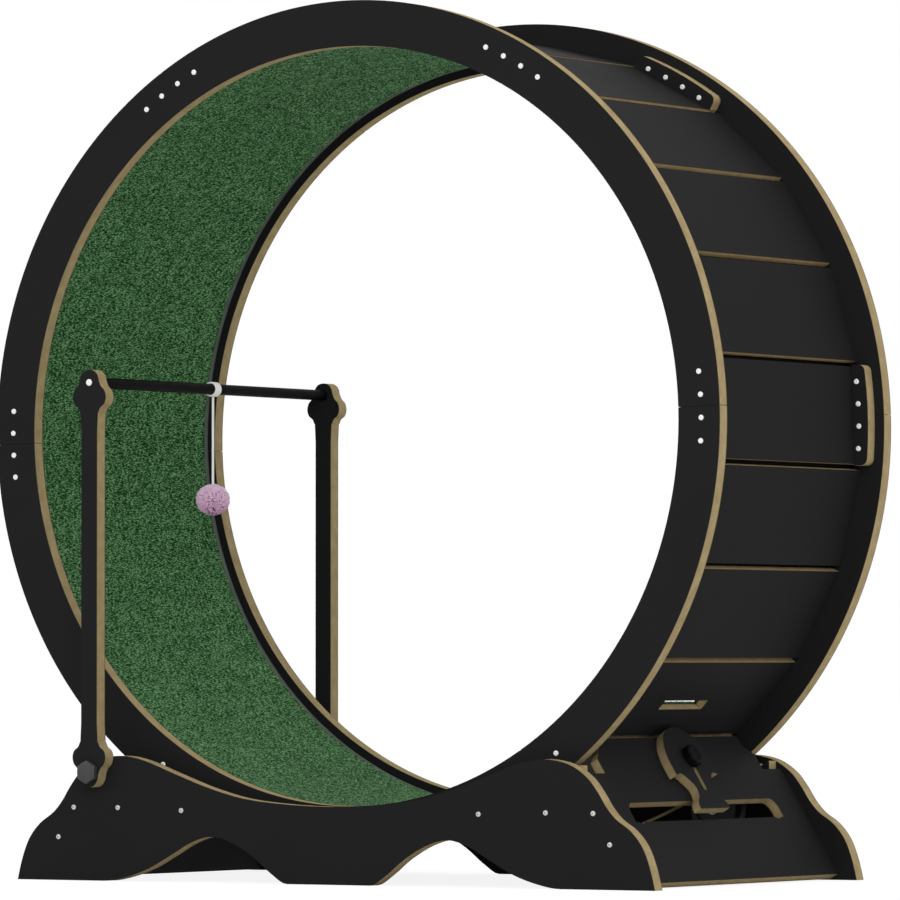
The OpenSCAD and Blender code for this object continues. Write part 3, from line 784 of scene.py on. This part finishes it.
def knob():
    """The knob and its stud along Z, with the panel's middle at height 0."""
    bm = bmesh.new()
    bmesh.ops.create_circle(bm, segments=KNOB_SIDES, radius=BOLT_R, cap_ends=False)
    bmesh.ops.translate(bm, verts=bm.verts, vec=(0, 0, -STUD_IN))
    ring = bm.edges[:]
    bmesh.ops.contextual_create(bm, geom=ring)
    ring = grow_ring(bm, ring, lambda angle: (BOLT_R, KNOB_SEAT))
    ring = grow_ring(bm, ring, lambda angle: (lobes(angle) - BEVEL, KNOB_SEAT))
    ring = grow_ring(bm, ring, lambda angle: (lobes(angle), KNOB_SEAT + BEVEL))
    for step in range(EDGE_STEPS + 1):
        lean = math.pi / 2 * step / EDGE_STEPS
        draw_in = KNOB_EDGE * (1 - math.cos(lean))
        height = KNOB_TOP - KNOB_EDGE + KNOB_EDGE * math.sin(lean)
        ring = grow_ring(bm, ring, lambda angle: (lobes(angle) - draw_in, height))
    ring = grow_ring(bm, ring, lambda angle: (SINK_R, KNOB_TOP))
    ring = grow_ring(bm, ring, lambda angle: (SINK_R - BEVEL, KNOB_TOP - BEVEL))
    ring = grow_ring(bm, ring, lambda angle: (CENTRE_R, KNOB_TOP - BEVEL))
    bmesh.ops.contextual_create(bm, geom=ring)
    return bm


KNOB_PLASTIC = moulded("knob plastic", [(9, 9, 10), (14, 14, 15)], rough=(0.5, 0.65),
                       waves=1400, relief_mm=0.06, Specular_IOR_Level=0.06)
knob_axis = on_panel(0, 0, 1) - on_panel(0, 0, 0)
knob_place = [stand(on_panel(0, KNOB_UP, 0), knob_axis)]
piece = add_piece("latch_knob", copies(knob(), knob_place), [KNOB_PLASTIC], "knob",
                  smooth_under=40)
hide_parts("lock_knob")

# %% [markdown]
# ## The sliding ring
#
# The toy hangs from a short white sleeve that slides on the bar. It is made as a lathe would
# make it: its section, a bar with four small round edges, is spun about its axis. The
# section is closed on itself, so the bore is as smooth as the outside.

# %% Model the sliding ring
SLEEVE_R = 9 * MM
SLEEVE_BORE = 6.8 * MM
SLEEVE_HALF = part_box("toy_ring")[1].y
SLEEVE_EDGE = 0.7 * MM
SLEEVE_SIDES = 64


def round_edge(centre_r, centre_h, quarter):
    """Four points of a round edge, which starts that many quarter turns from the radius."""
    points = []
    for step in range(4):
        angle = (quarter + step / 3) * math.pi / 2
        points.append((centre_r + SLEEVE_EDGE * math.cos(angle),
                       centre_h + SLEEVE_EDGE * math.sin(angle)))
    return points


def spin_section(section, steps):
    """A bmesh of a closed section, as pairs of radius and height, spun about Z."""
    bm = bmesh.new()
    points = [bm.verts.new((radius, 0, height)) for radius, height in section]
    edges = [bm.edges.new(pair) for pair in zip(points, points[1:] + points[:1])]
    bmesh.ops.spin(bm, geom=points + edges, cent=(0, 0, 0), axis=(0, 0, 1),
                   angle=math.tau, steps=steps, use_merge=True)
    bmesh.ops.remove_doubles(bm, verts=bm.verts, dist=TOLERANCE)
    bmesh.ops.recalc_face_normals(bm, faces=bm.faces)
    return bm


inner = SLEEVE_BORE + SLEEVE_EDGE
outer = SLEEVE_R - SLEEVE_EDGE
edge_h = SLEEVE_HALF - SLEEVE_EDGE
centres = [(outer, edge_h), (inner, edge_h), (inner, -edge_h), (outer, -edge_h)]
section = []
for quarter, (centre_r, centre_h) in enumerate(centres):
    section += round_edge(centre_r, centre_h, quarter)

WHITE_PLASTIC = moulded("white plastic", [(250, 250, 249), (255, 255, 254)],
                        rough=(0.3, 0.45), waves=700, relief_mm=0.02)
sleeve = copies(spin_section(section, SLEEVE_SIDES), [stand((POST_X, 0, BAR_Z), (0, 1, 0))])
piece = add_piece("sliding_ring", sleeve, [WHITE_PLASTIC], "toy_slider",
                  smooth_under=60)
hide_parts("toy_ring")

# %% [markdown]
# ## The string
#
# The string is a soft white cord of three strands, 3 mm thick, twisted once every 9 mm.
# Its outline is a circle with three shallow lobes, extruded down step by step, and each
# new outline is turned a little further. It hangs straight, because the pom-pom pulls it.

# %% Model the string
STRING_R = 1.5 * MM
STRING_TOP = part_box("toy_string")[1].z
STRING_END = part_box("toy_string")[0].z
STRING_L = STRING_TOP - STRING_END
TWIST = 9 * MM
PLIES = 3
VALLEY = 0.94
PLY_RISE = 0.08
STRING_SIDES = 18
STRING_STEPS = 84


def twisted(angle, turn):
    """The string's radius at an angle, where its strands have turned that far."""
    return STRING_R * (VALLEY + PLY_RISE * abs(math.cos(PLIES / 2 * (angle - turn))))


string = bmesh.new()
bmesh.ops.create_circle(string, segments=STRING_SIDES, radius=STRING_R, cap_ends=False)
ring = string.edges[:]
bmesh.ops.contextual_create(string, geom=ring)
for vert in string.verts:
    angle = math.atan2(vert.co.y, vert.co.x)
    vert.co *= twisted(angle, 0) / STRING_R
for step in range(1, STRING_STEPS + 1):
    drop = -STRING_L * step / STRING_STEPS
    turn = math.tau * drop / TWIST
    ring = grow_ring(string, ring, lambda angle: (twisted(angle, turn), drop))
bmesh.ops.contextual_create(string, geom=ring)
bmesh.ops.translate(string, verts=string.verts, vec=(POST_X, 0, STRING_TOP))

STRING_WHITE = moulded("white string", [(250, 250, 248), (255, 255, 254)], rough=(0.7, 0.9),
                       waves=2500, relief_mm=0.1, Sheen_Weight=0.5, Sheen_Roughness=0.5)
string_piece = add_piece("toy_cord", string, [STRING_WHITE], "toy_pendulum",
                         smooth_under=60)
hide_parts("toy_string")

# %% [markdown]
# ## The pom-pom
#
# A pom-pom is a bundle of yarn ends that stand out from a knot in all directions. Here it
# is a core, painted dark as shade, with thousands of blunt strands, spread evenly by the
# golden angle and then disturbed, so that no pattern shows. Where a noise is low no strand
# grows, which leaves small pits between the tufts. The colour follows the distance from the
# middle: deep purple in the pits, which is painted shade, lilac further out, and nearly
# white at the tips, partly the yarn's pale colour and partly painted light.

# %% Model the pom-pom
BALL = (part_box("pompom")[0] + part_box("pompom")[1]) / 2
BALL_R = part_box("pompom")[1].x - BALL.x
CORE_R = 0.82 * BALL_R
BALL_SQUASH = 0.93
CORE_WAVES = 600
CORE_BUMPS = 0.07
YARN_ROOT_R = 0.4 * MM
YARN_TIP_R = 0.56 * MM
STRANDS = 4400
LEAN = 0.16
TIP_MEAN = 0.98
TIP_SPREAD = 0.03
TIP_MOST = 1.03
ROOT_IN = 0.97
ROOT_SHIFT = 0.15
PIT_SCALE = 8.5
PIT_LEVEL = -0.16
GOLDEN = math.pi * (3 - math.sqrt(5))

draw = random.Random(5)
fuzz = bmesh.new()
bmesh.ops.create_icosphere(fuzz, subdivisions=4, radius=CORE_R)
for vert in fuzz.verts:
    vert.co *= 1 + CORE_BUMPS * noise.noise(vert.co * CORE_WAVES)
strand = bmesh.new()
bmesh.ops.create_cone(strand, cap_ends=True, segments=5, radius1=YARN_ROOT_R,
                      radius2=YARN_TIP_R, depth=1, matrix=Matrix.Translation((0, 0, 0.5)))
strand_places = []
for number in range(STRANDS):
    height = 1 - 2 * (number + 0.5) / STRANDS
    angle = number * GOLDEN
    flat = math.sqrt(1 - height * height)
    way = Vector((flat * math.cos(angle), flat * math.sin(angle), height))
    lean = Vector([draw.gauss(0, LEAN) for axis in range(3)])
    tip = way * BALL_R * min(TIP_MOST, draw.gauss(TIP_MEAN, TIP_SPREAD))
    root = way * CORE_R * ROOT_IN + lean * ROOT_SHIFT * BALL_R
    stretch = Matrix.Diagonal((1, 1, (tip - root).length, 1))
    turn = draw.uniform(0, 2)
    if noise.noise(way * PIT_SCALE) > PIT_LEVEL:
        strand_places.append(stand(root, tip - root, turn) @ stretch)
print("yarn strands:", len(strand_places))
yarn_mesh = bpy.data.meshes.new("yarn")
yarn_ends = copies(strand, strand_places)
yarn_ends.to_mesh(yarn_mesh)
yarn_ends.free()
fuzz.from_mesh(yarn_mesh)
bpy.data.meshes.remove(yarn_mesh)
lift = Vector((0, 0, BALL_R * (1 - BALL_SQUASH)))
bmesh.ops.scale(fuzz, vec=(1, 1, BALL_SQUASH), verts=fuzz.verts)
bmesh.ops.translate(fuzz, verts=fuzz.verts, vec=BALL + lift)

# %% [markdown]
# The yarn's material measures its distance from the ball's middle with a Mapping node that
# brings the middle to zero. Sheen gives the soft glow that wool has at its outline.

# %% Finish the pom-pom
YARN_WAVES = 640
SPECK = 0.4
YARN, tree, shader = new_material("lilac yarn", Sheen_Weight=1.0, Sheen_Roughness=0.4,
                                  Specular_IOR_Level=0.2, Roughness=0.9)
centred = put(tree, "Mapping", {"Vector": place(tree), "Location": -BALL}).outputs["Vector"]
far = put(tree, "VectorMath", {0: centred}, operation="LENGTH").outputs["Value"]
far = maths(tree, "DIVIDE", far, BALL_R)
speck = grain(tree, centred, YARN_WAVES, detail=2, roughness=0.6)
far = maths(tree, "ADD", far, maths(tree, "MULTIPLY_ADD", speck, SPECK, -SPECK / 2))
# Deep purple near the core is painted shade in the pits; the near-white tips are partly the
# yarn's pale colour and partly painted light.
pit_shade = ramp_between(tree, far, 0.78, 0.88)
pale = ramp_between(tree, far, 0.92, 1.02)
yarn = blend_colours(tree, pit_shade, paint(104, 34, 96), paint(255, 194, 240))
yarn = blend_colours(tree, pale, yarn, paint(255, 234, 252))
tree.links.new(yarn, shader.inputs["Base Color"])
ball_piece = add_piece("yarn_ball", fuzz, [YARN], "toy_pendulum", smooth_under=180)
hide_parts("pompom")

print("cord length:", round(STRING_L, 4), "m")

# %% [markdown]
# ## The carpet
#
# The running track is a strip of short green pile, glued round the inside of the planks,
# with a flat grey edging tape along both sides. A smooth sleeve would look like paint, so
# the strip is modelled: its section is spun round the hub, with the pile side divided
# finely, and each point of the pile is pushed in or out by a little, half by smooth noise
# and half by chance. How far it went is kept as an attribute, so that the material can
# make the tips pale and the roots dark, as painted light on the tips and painted shade at
# the roots.

# %% Model the carpet
BACK_R = 457.8 * MM
PILE_R = 455.2 * MM
TAPE_R = 455.9 * MM
TAPE_W = 8 * MM
CARPET_HALF = RING_IN - 0.1 * MM
PILE_ROWS = 104
PILE_STEPS = 792
PILE_RISE = 1.3 * MM
PILE_WAVES = 230

tufts = random.Random(3)
carpet = bmesh.new()
line = [carpet.verts.new((BACK_R, -CARPET_HALF, HUB.z))]
for row in range(PILE_ROWS + 1):
    y = CARPET_HALF * (2 * row / PILE_ROWS - 1)
    line.append(carpet.verts.new((TAPE_R, y, HUB.z)))
line.append(carpet.verts.new((BACK_R, CARPET_HALF, HUB.z)))
edges = [carpet.edges.new(pair) for pair in zip(line, line[1:] + line[:1])]
bmesh.ops.spin(carpet, geom=line + edges, cent=HUB, axis=(0, 1, 0), angle=math.tau,
               steps=PILE_STEPS, use_merge=True)
bmesh.ops.recalc_face_normals(carpet, faces=carpet.faces)
height_of = carpet.verts.layers.float.new("pile")
for vert in carpet.verts:
    out = Vector((vert.co.x, 0, vert.co.z - HUB.z))
    if out.length < BACK_R - MM and abs(vert.co.y) < CARPET_HALF - TAPE_W:
        rise = 0.5 + 0.5 * noise.noise(vert.co * PILE_WAVES) + tufts.uniform(-0.5, 0.5)
        vert[height_of] = min(1.0, max(0.0, rise))
        out.normalize()
        vert.co -= out * (TAPE_R - PILE_R + PILE_RISE * vert[height_of])
print("carpet faces:", len(carpet.faces))

# %% [markdown]
# The lock latch reaches through one plank and through the carpet on it. The slot is cut in
# the carpet by slicing the faces near it along the slot's four sides. What lies inside is
# deleted. That leaves two rims, one in the pile and one in the back. The back has one long
# edge where the pile has many short ones, so the long edges are divided first, and then the
# rims, which have the same number of edges, are bridged.

# %% Cut the slot in the carpet
SLOT_ANGLE = 21 * PLANK_STEP + WHEEL_TURN
SLOT_HALF = 51.5 * MM
SLOT_LOW = -17.25 * MM
SLOT_HIGH = -2.75 * MM
SLOT_NEAR = 12 * MM
BACK_SKIN = 0.6 * MM
SHORT_EDGE = 0.1 * MM
round_way = Vector((-math.sin(SLOT_ANGLE), 0, math.cos(SLOT_ANGLE)))
out_way = Vector((math.cos(SLOT_ANGLE), 0, math.sin(SLOT_ANGLE)))


def near_slot(face, margin, half):
    """True if the face's middle lies in the slot, or within a margin and this half width."""
    middle = face.calc_center_median() - HUB
    along = middle.dot(round_way)
    inside = SLOT_LOW - margin < along < SLOT_HIGH + margin
    return inside and middle.dot(out_way) > 0 and abs(middle.y) < half


sides = [
    (HUB + round_way * SLOT_LOW, round_way),
    (HUB + round_way * SLOT_HIGH, round_way),
    (HUB + Vector((0, SLOT_HALF, 0)), Vector((0, 1, 0))),
    (HUB - Vector((0, SLOT_HALF, 0)), Vector((0, 1, 0))),
]
for point, normal in sides:
    faces = [face for face in carpet.faces if near_slot(face, SLOT_NEAR, CARPET_HALF)]
    around = {item for face in faces for item in [*face.verts, *face.edges]}
    bmesh.ops.bisect_plane(carpet, geom=faces + list(around), plane_co=point, plane_no=normal)
gone = [face for face in carpet.faces if near_slot(face, 0, SLOT_HALF)]
bmesh.ops.delete(carpet, geom=gone, context="FACES")
rims = [edge for edge in carpet.edges if edge.is_boundary]
long_edges = [edge for edge in rims if edge.calc_length() > SLOT_HALF]
across = [abs(edge.verts[0].co.y - edge.verts[1].co.y) for edge in rims]
short_count = sum(width > SHORT_EDGE for width in across) - len(long_edges)
cuts = short_count // len(long_edges) - 1
bmesh.ops.subdivide_edges(carpet, edges=long_edges, cuts=cuts)
rims = [edge for edge in carpet.edges if edge.is_boundary]
bmesh.ops.bridge_loops(carpet, edges=rims)
for face in carpet.faces:
    middle = face.calc_center_median() - HUB
    face.material_index = 1 if abs(middle.y) > CARPET_HALF - TAPE_W else 0
    if math.hypot(middle.x, middle.z) > BACK_R - BACK_SKIN:
        face.material_index = 2
left_open = sum(edge.is_boundary for edge in carpet.edges)
print("slot faces cut:", len(gone), "rim edges:", len(rims), "left open:", left_open)

# %% [markdown]
# Pile is never one green. Its fibres lie in all directions, so each tuft catches the light
# in its own way, and here part of that light and shade is painted into the colour. The
# material adds up five things: how high the pile stands, which paints the tips light and the
# roots in shade, the tufts themselves, an uneven fleck, a finer one the size of a few fibres,
# and a broad patch where the pile has been walked on. A Voronoi texture makes the tufts,
# because its distance is 0 in the middle of each cell and largest where cells meet, so its
# share in the sum is negative: each tuft is painted light in the middle and painted shade at
# its foot. All but the patches is drawn out across the track, the way the pile is combed. A
# bump from the two noises keeps the light broken up between the modelled tufts. The back of
# the carpet is dark latex, which shows in the joints between the planks.

# %% Finish the carpet
COMBED = 0.25
UNEVEN_WAVES = 960
TUFT_WAVES = 790
PILE_FIBRE_WAVES = 1900
WALKED_WAVES = 14
FLECK_BASE = 0.546
PILE_RELIEF = 0.8 * MM

PILE, tree, shader = new_material("green pile", Specular_IOR_Level=0.05, Roughness=0.95,
                                  Sheen_Weight=0.04, Sheen_Roughness=0.6)
point = place(tree)
high = put(tree, "Attribute", attribute_name="pile").outputs["Fac"]
combed = put(tree, "Mapping", {"Vector": point, "Scale": (1, COMBED, 1)}).outputs["Vector"]
uneven = put(tree, "TexNoise", {"Vector": combed, "Scale": UNEVEN_WAVES, "Detail": 1.0,
                                "Roughness": 0.5, "Distortion": 0.3}).outputs["Fac"]
tuft_foot_shade = put(tree, "TexVoronoi", {"Vector": combed, "Scale": TUFT_WAVES}).outputs["Distance"]
fibre = grain(tree, combed, PILE_FIBRE_WAVES, detail=1)
patch = grain(tree, point, WALKED_WAVES, detail=2)
# The pile's height and the tuft distance paint light on the tips and the tufts' middles, and
# shade at the roots and the tufts' feet; the other noises are the pile's own tone.
fleck_and_shade = FLECK_BASE
for mask, share in ((high, 0.1), (uneven, 0.2), (tuft_foot_shade, -0.42), (fibre, 0.12), (patch, 0.03)):
    fleck_and_shade = maths(tree, "MULTIPLY_ADD", mask, share, fleck_and_shade)
dark = ramp_between(tree, fleck_and_shade, 0.42, 0.52)
light = ramp_between(tree, fleck_and_shade, 0.56, 0.67)
green = blend_colours(tree, dark, paint(4, 33, 10), paint(43, 92, 45))
green = blend_colours(tree, light, green, paint(126, 172, 122))
tree.links.new(green, shader.inputs["Base Color"])
height = maths(tree, "MULTIPLY_ADD", uneven, 0.6, fibre)
bump = put(tree, "Bump", {"Height": height, "Distance": PILE_RELIEF, "Strength": 0.7})
tree.links.new(bump.outputs["Normal"], shader.inputs["Normal"])

TAPE = moulded("grey edging tape", [(100, 104, 101), (130, 133, 129)], rough=(0.6, 0.8),
               waves=1600, relief_mm=0.1, Specular_IOR_Level=0.1)
LATEX = moulded("latex backing", [(13, 14, 11), (24, 25, 19)], rough=(0.7, 0.9),
                waves=900, relief_mm=0.1, Specular_IOR_Level=0.05)
piece = add_piece("pile_carpet", carpet, [PILE, TAPE, LATEX], "wheel",
                  smooth_under=60)
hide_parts("carpet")

# %% [markdown]
# ## Floor and background
#
# The object stands on a pale floor in a white studio. To the lamps the floor is plain grey
# paper, so that little light comes back up under the base. Where the camera or a reflection
# looks at it, it mostly glows by itself, and a small share of it is lit. Together they are
# white, and the lit share keeps the object's soft shadow. The world is white for the camera
# in the same way, and gives an even light to everything else.

# %% Make the floor and the world
FLOOR_SIZE = 30
FLOOR_GLOW = 0.88
FLOOR_LIT = 0.18
FLOOR_BOUNCE = 0.85
WORLD_LIGHT = 0.8


def grey(level):
    """A linear grey."""
    return (level, level, level, 1)


def seen(tree):
    """1 where the camera, a reflection or a view through glass looks, otherwise 0."""
    light_path = tree.nodes.new("ShaderNodeLightPath").outputs
    straight = maths(tree, "MAXIMUM", light_path["Is Camera Ray"], light_path["Is Glossy Ray"])
    return maths(tree, "MAXIMUM", straight, light_path["Is Transmission Ray"])


floor_bm = bmesh.new()
bmesh.ops.create_grid(floor_bm, x_segments=1, y_segments=1, size=FLOOR_SIZE)
floor_mesh = bpy.data.meshes.new("studio_floor")
floor_bm.to_mesh(floor_mesh)
floor_bm.free()
floor = bpy.data.objects.new("studio_floor", floor_mesh)
bpy.context.scene.collection.objects.link(floor)

paper, tree, shader = new_material("pale paper", Roughness=0.9, Specular_IOR_Level=0.0,
                                   Base_Color=grey(FLOOR_BOUNCE))
lit = put(tree, "BsdfDiffuse", {"Color": grey(FLOOR_LIT)}).outputs[0]
glow = put(tree, "Emission", {"Color": grey(1), "Strength": FLOOR_GLOW}).outputs[0]
seen_paper = put(tree, "AddShader", {0: lit, 1: glow}).outputs[0]
mix = put(tree, "MixShader", {0: seen(tree), 1: shader.outputs[0], 2: seen_paper}).outputs[0]
tree.links.new(mix, tree.nodes["Material Output"].inputs["Surface"])
floor_mesh.materials.append(paper)

world = bpy.data.worlds.new("studio")
bpy.context.scene.world = world
world.use_nodes = True
tree = world.node_tree
lighting = tree.nodes["Background"]
lighting.inputs["Color"].default_value = grey(1)
lighting.inputs["Strength"].default_value = WORLD_LIGHT
white = put(tree, "Background", {"Color": grey(1), "Strength": 1.0}).outputs[0]
mix = put(tree, "MixShader", {0: seen(tree), 1: lighting.outputs[0], 2: white}).outputs[0]
tree.links.new(mix, tree.nodes["World Output"].inputs["Surface"])
print("floor glow:", FLOOR_GLOW, "world light:", WORLD_LIGHT)

# %% [markdown]
# ## Lamps
#
# A wide lamp above and a wide lamp in front to the right round off the shapes. A wide lamp
# has a soft edge to its shadow, and neither is strong enough to bleach a colour. The view
# transform Standard then shows each colour about as it was written.

# %% Hang the lamps
def add_lamp(name, at, watts, size):
    """A square lamp that faces the middle of the wheel."""
    lamp = bpy.data.lights.new(name, "AREA")
    lamp.energy = watts
    lamp.size = size
    holder = bpy.data.objects.new(name, lamp)
    holder.location = at
    holder.rotation_euler = (HUB - Vector(at)).to_track_quat("-Z", "Y").to_euler()
    bpy.context.scene.collection.objects.link(holder)
    print("lamp", name, watts, "W")


add_lamp("lamp_above", at=(0.5, -0.5, 5.0), watts=40, size=4)
add_lamp("lamp_front_right", at=(3.4, -4.9, 3.2), watts=75, size=3.5)

bpy.context.scene.view_settings.view_transform = "Standard"
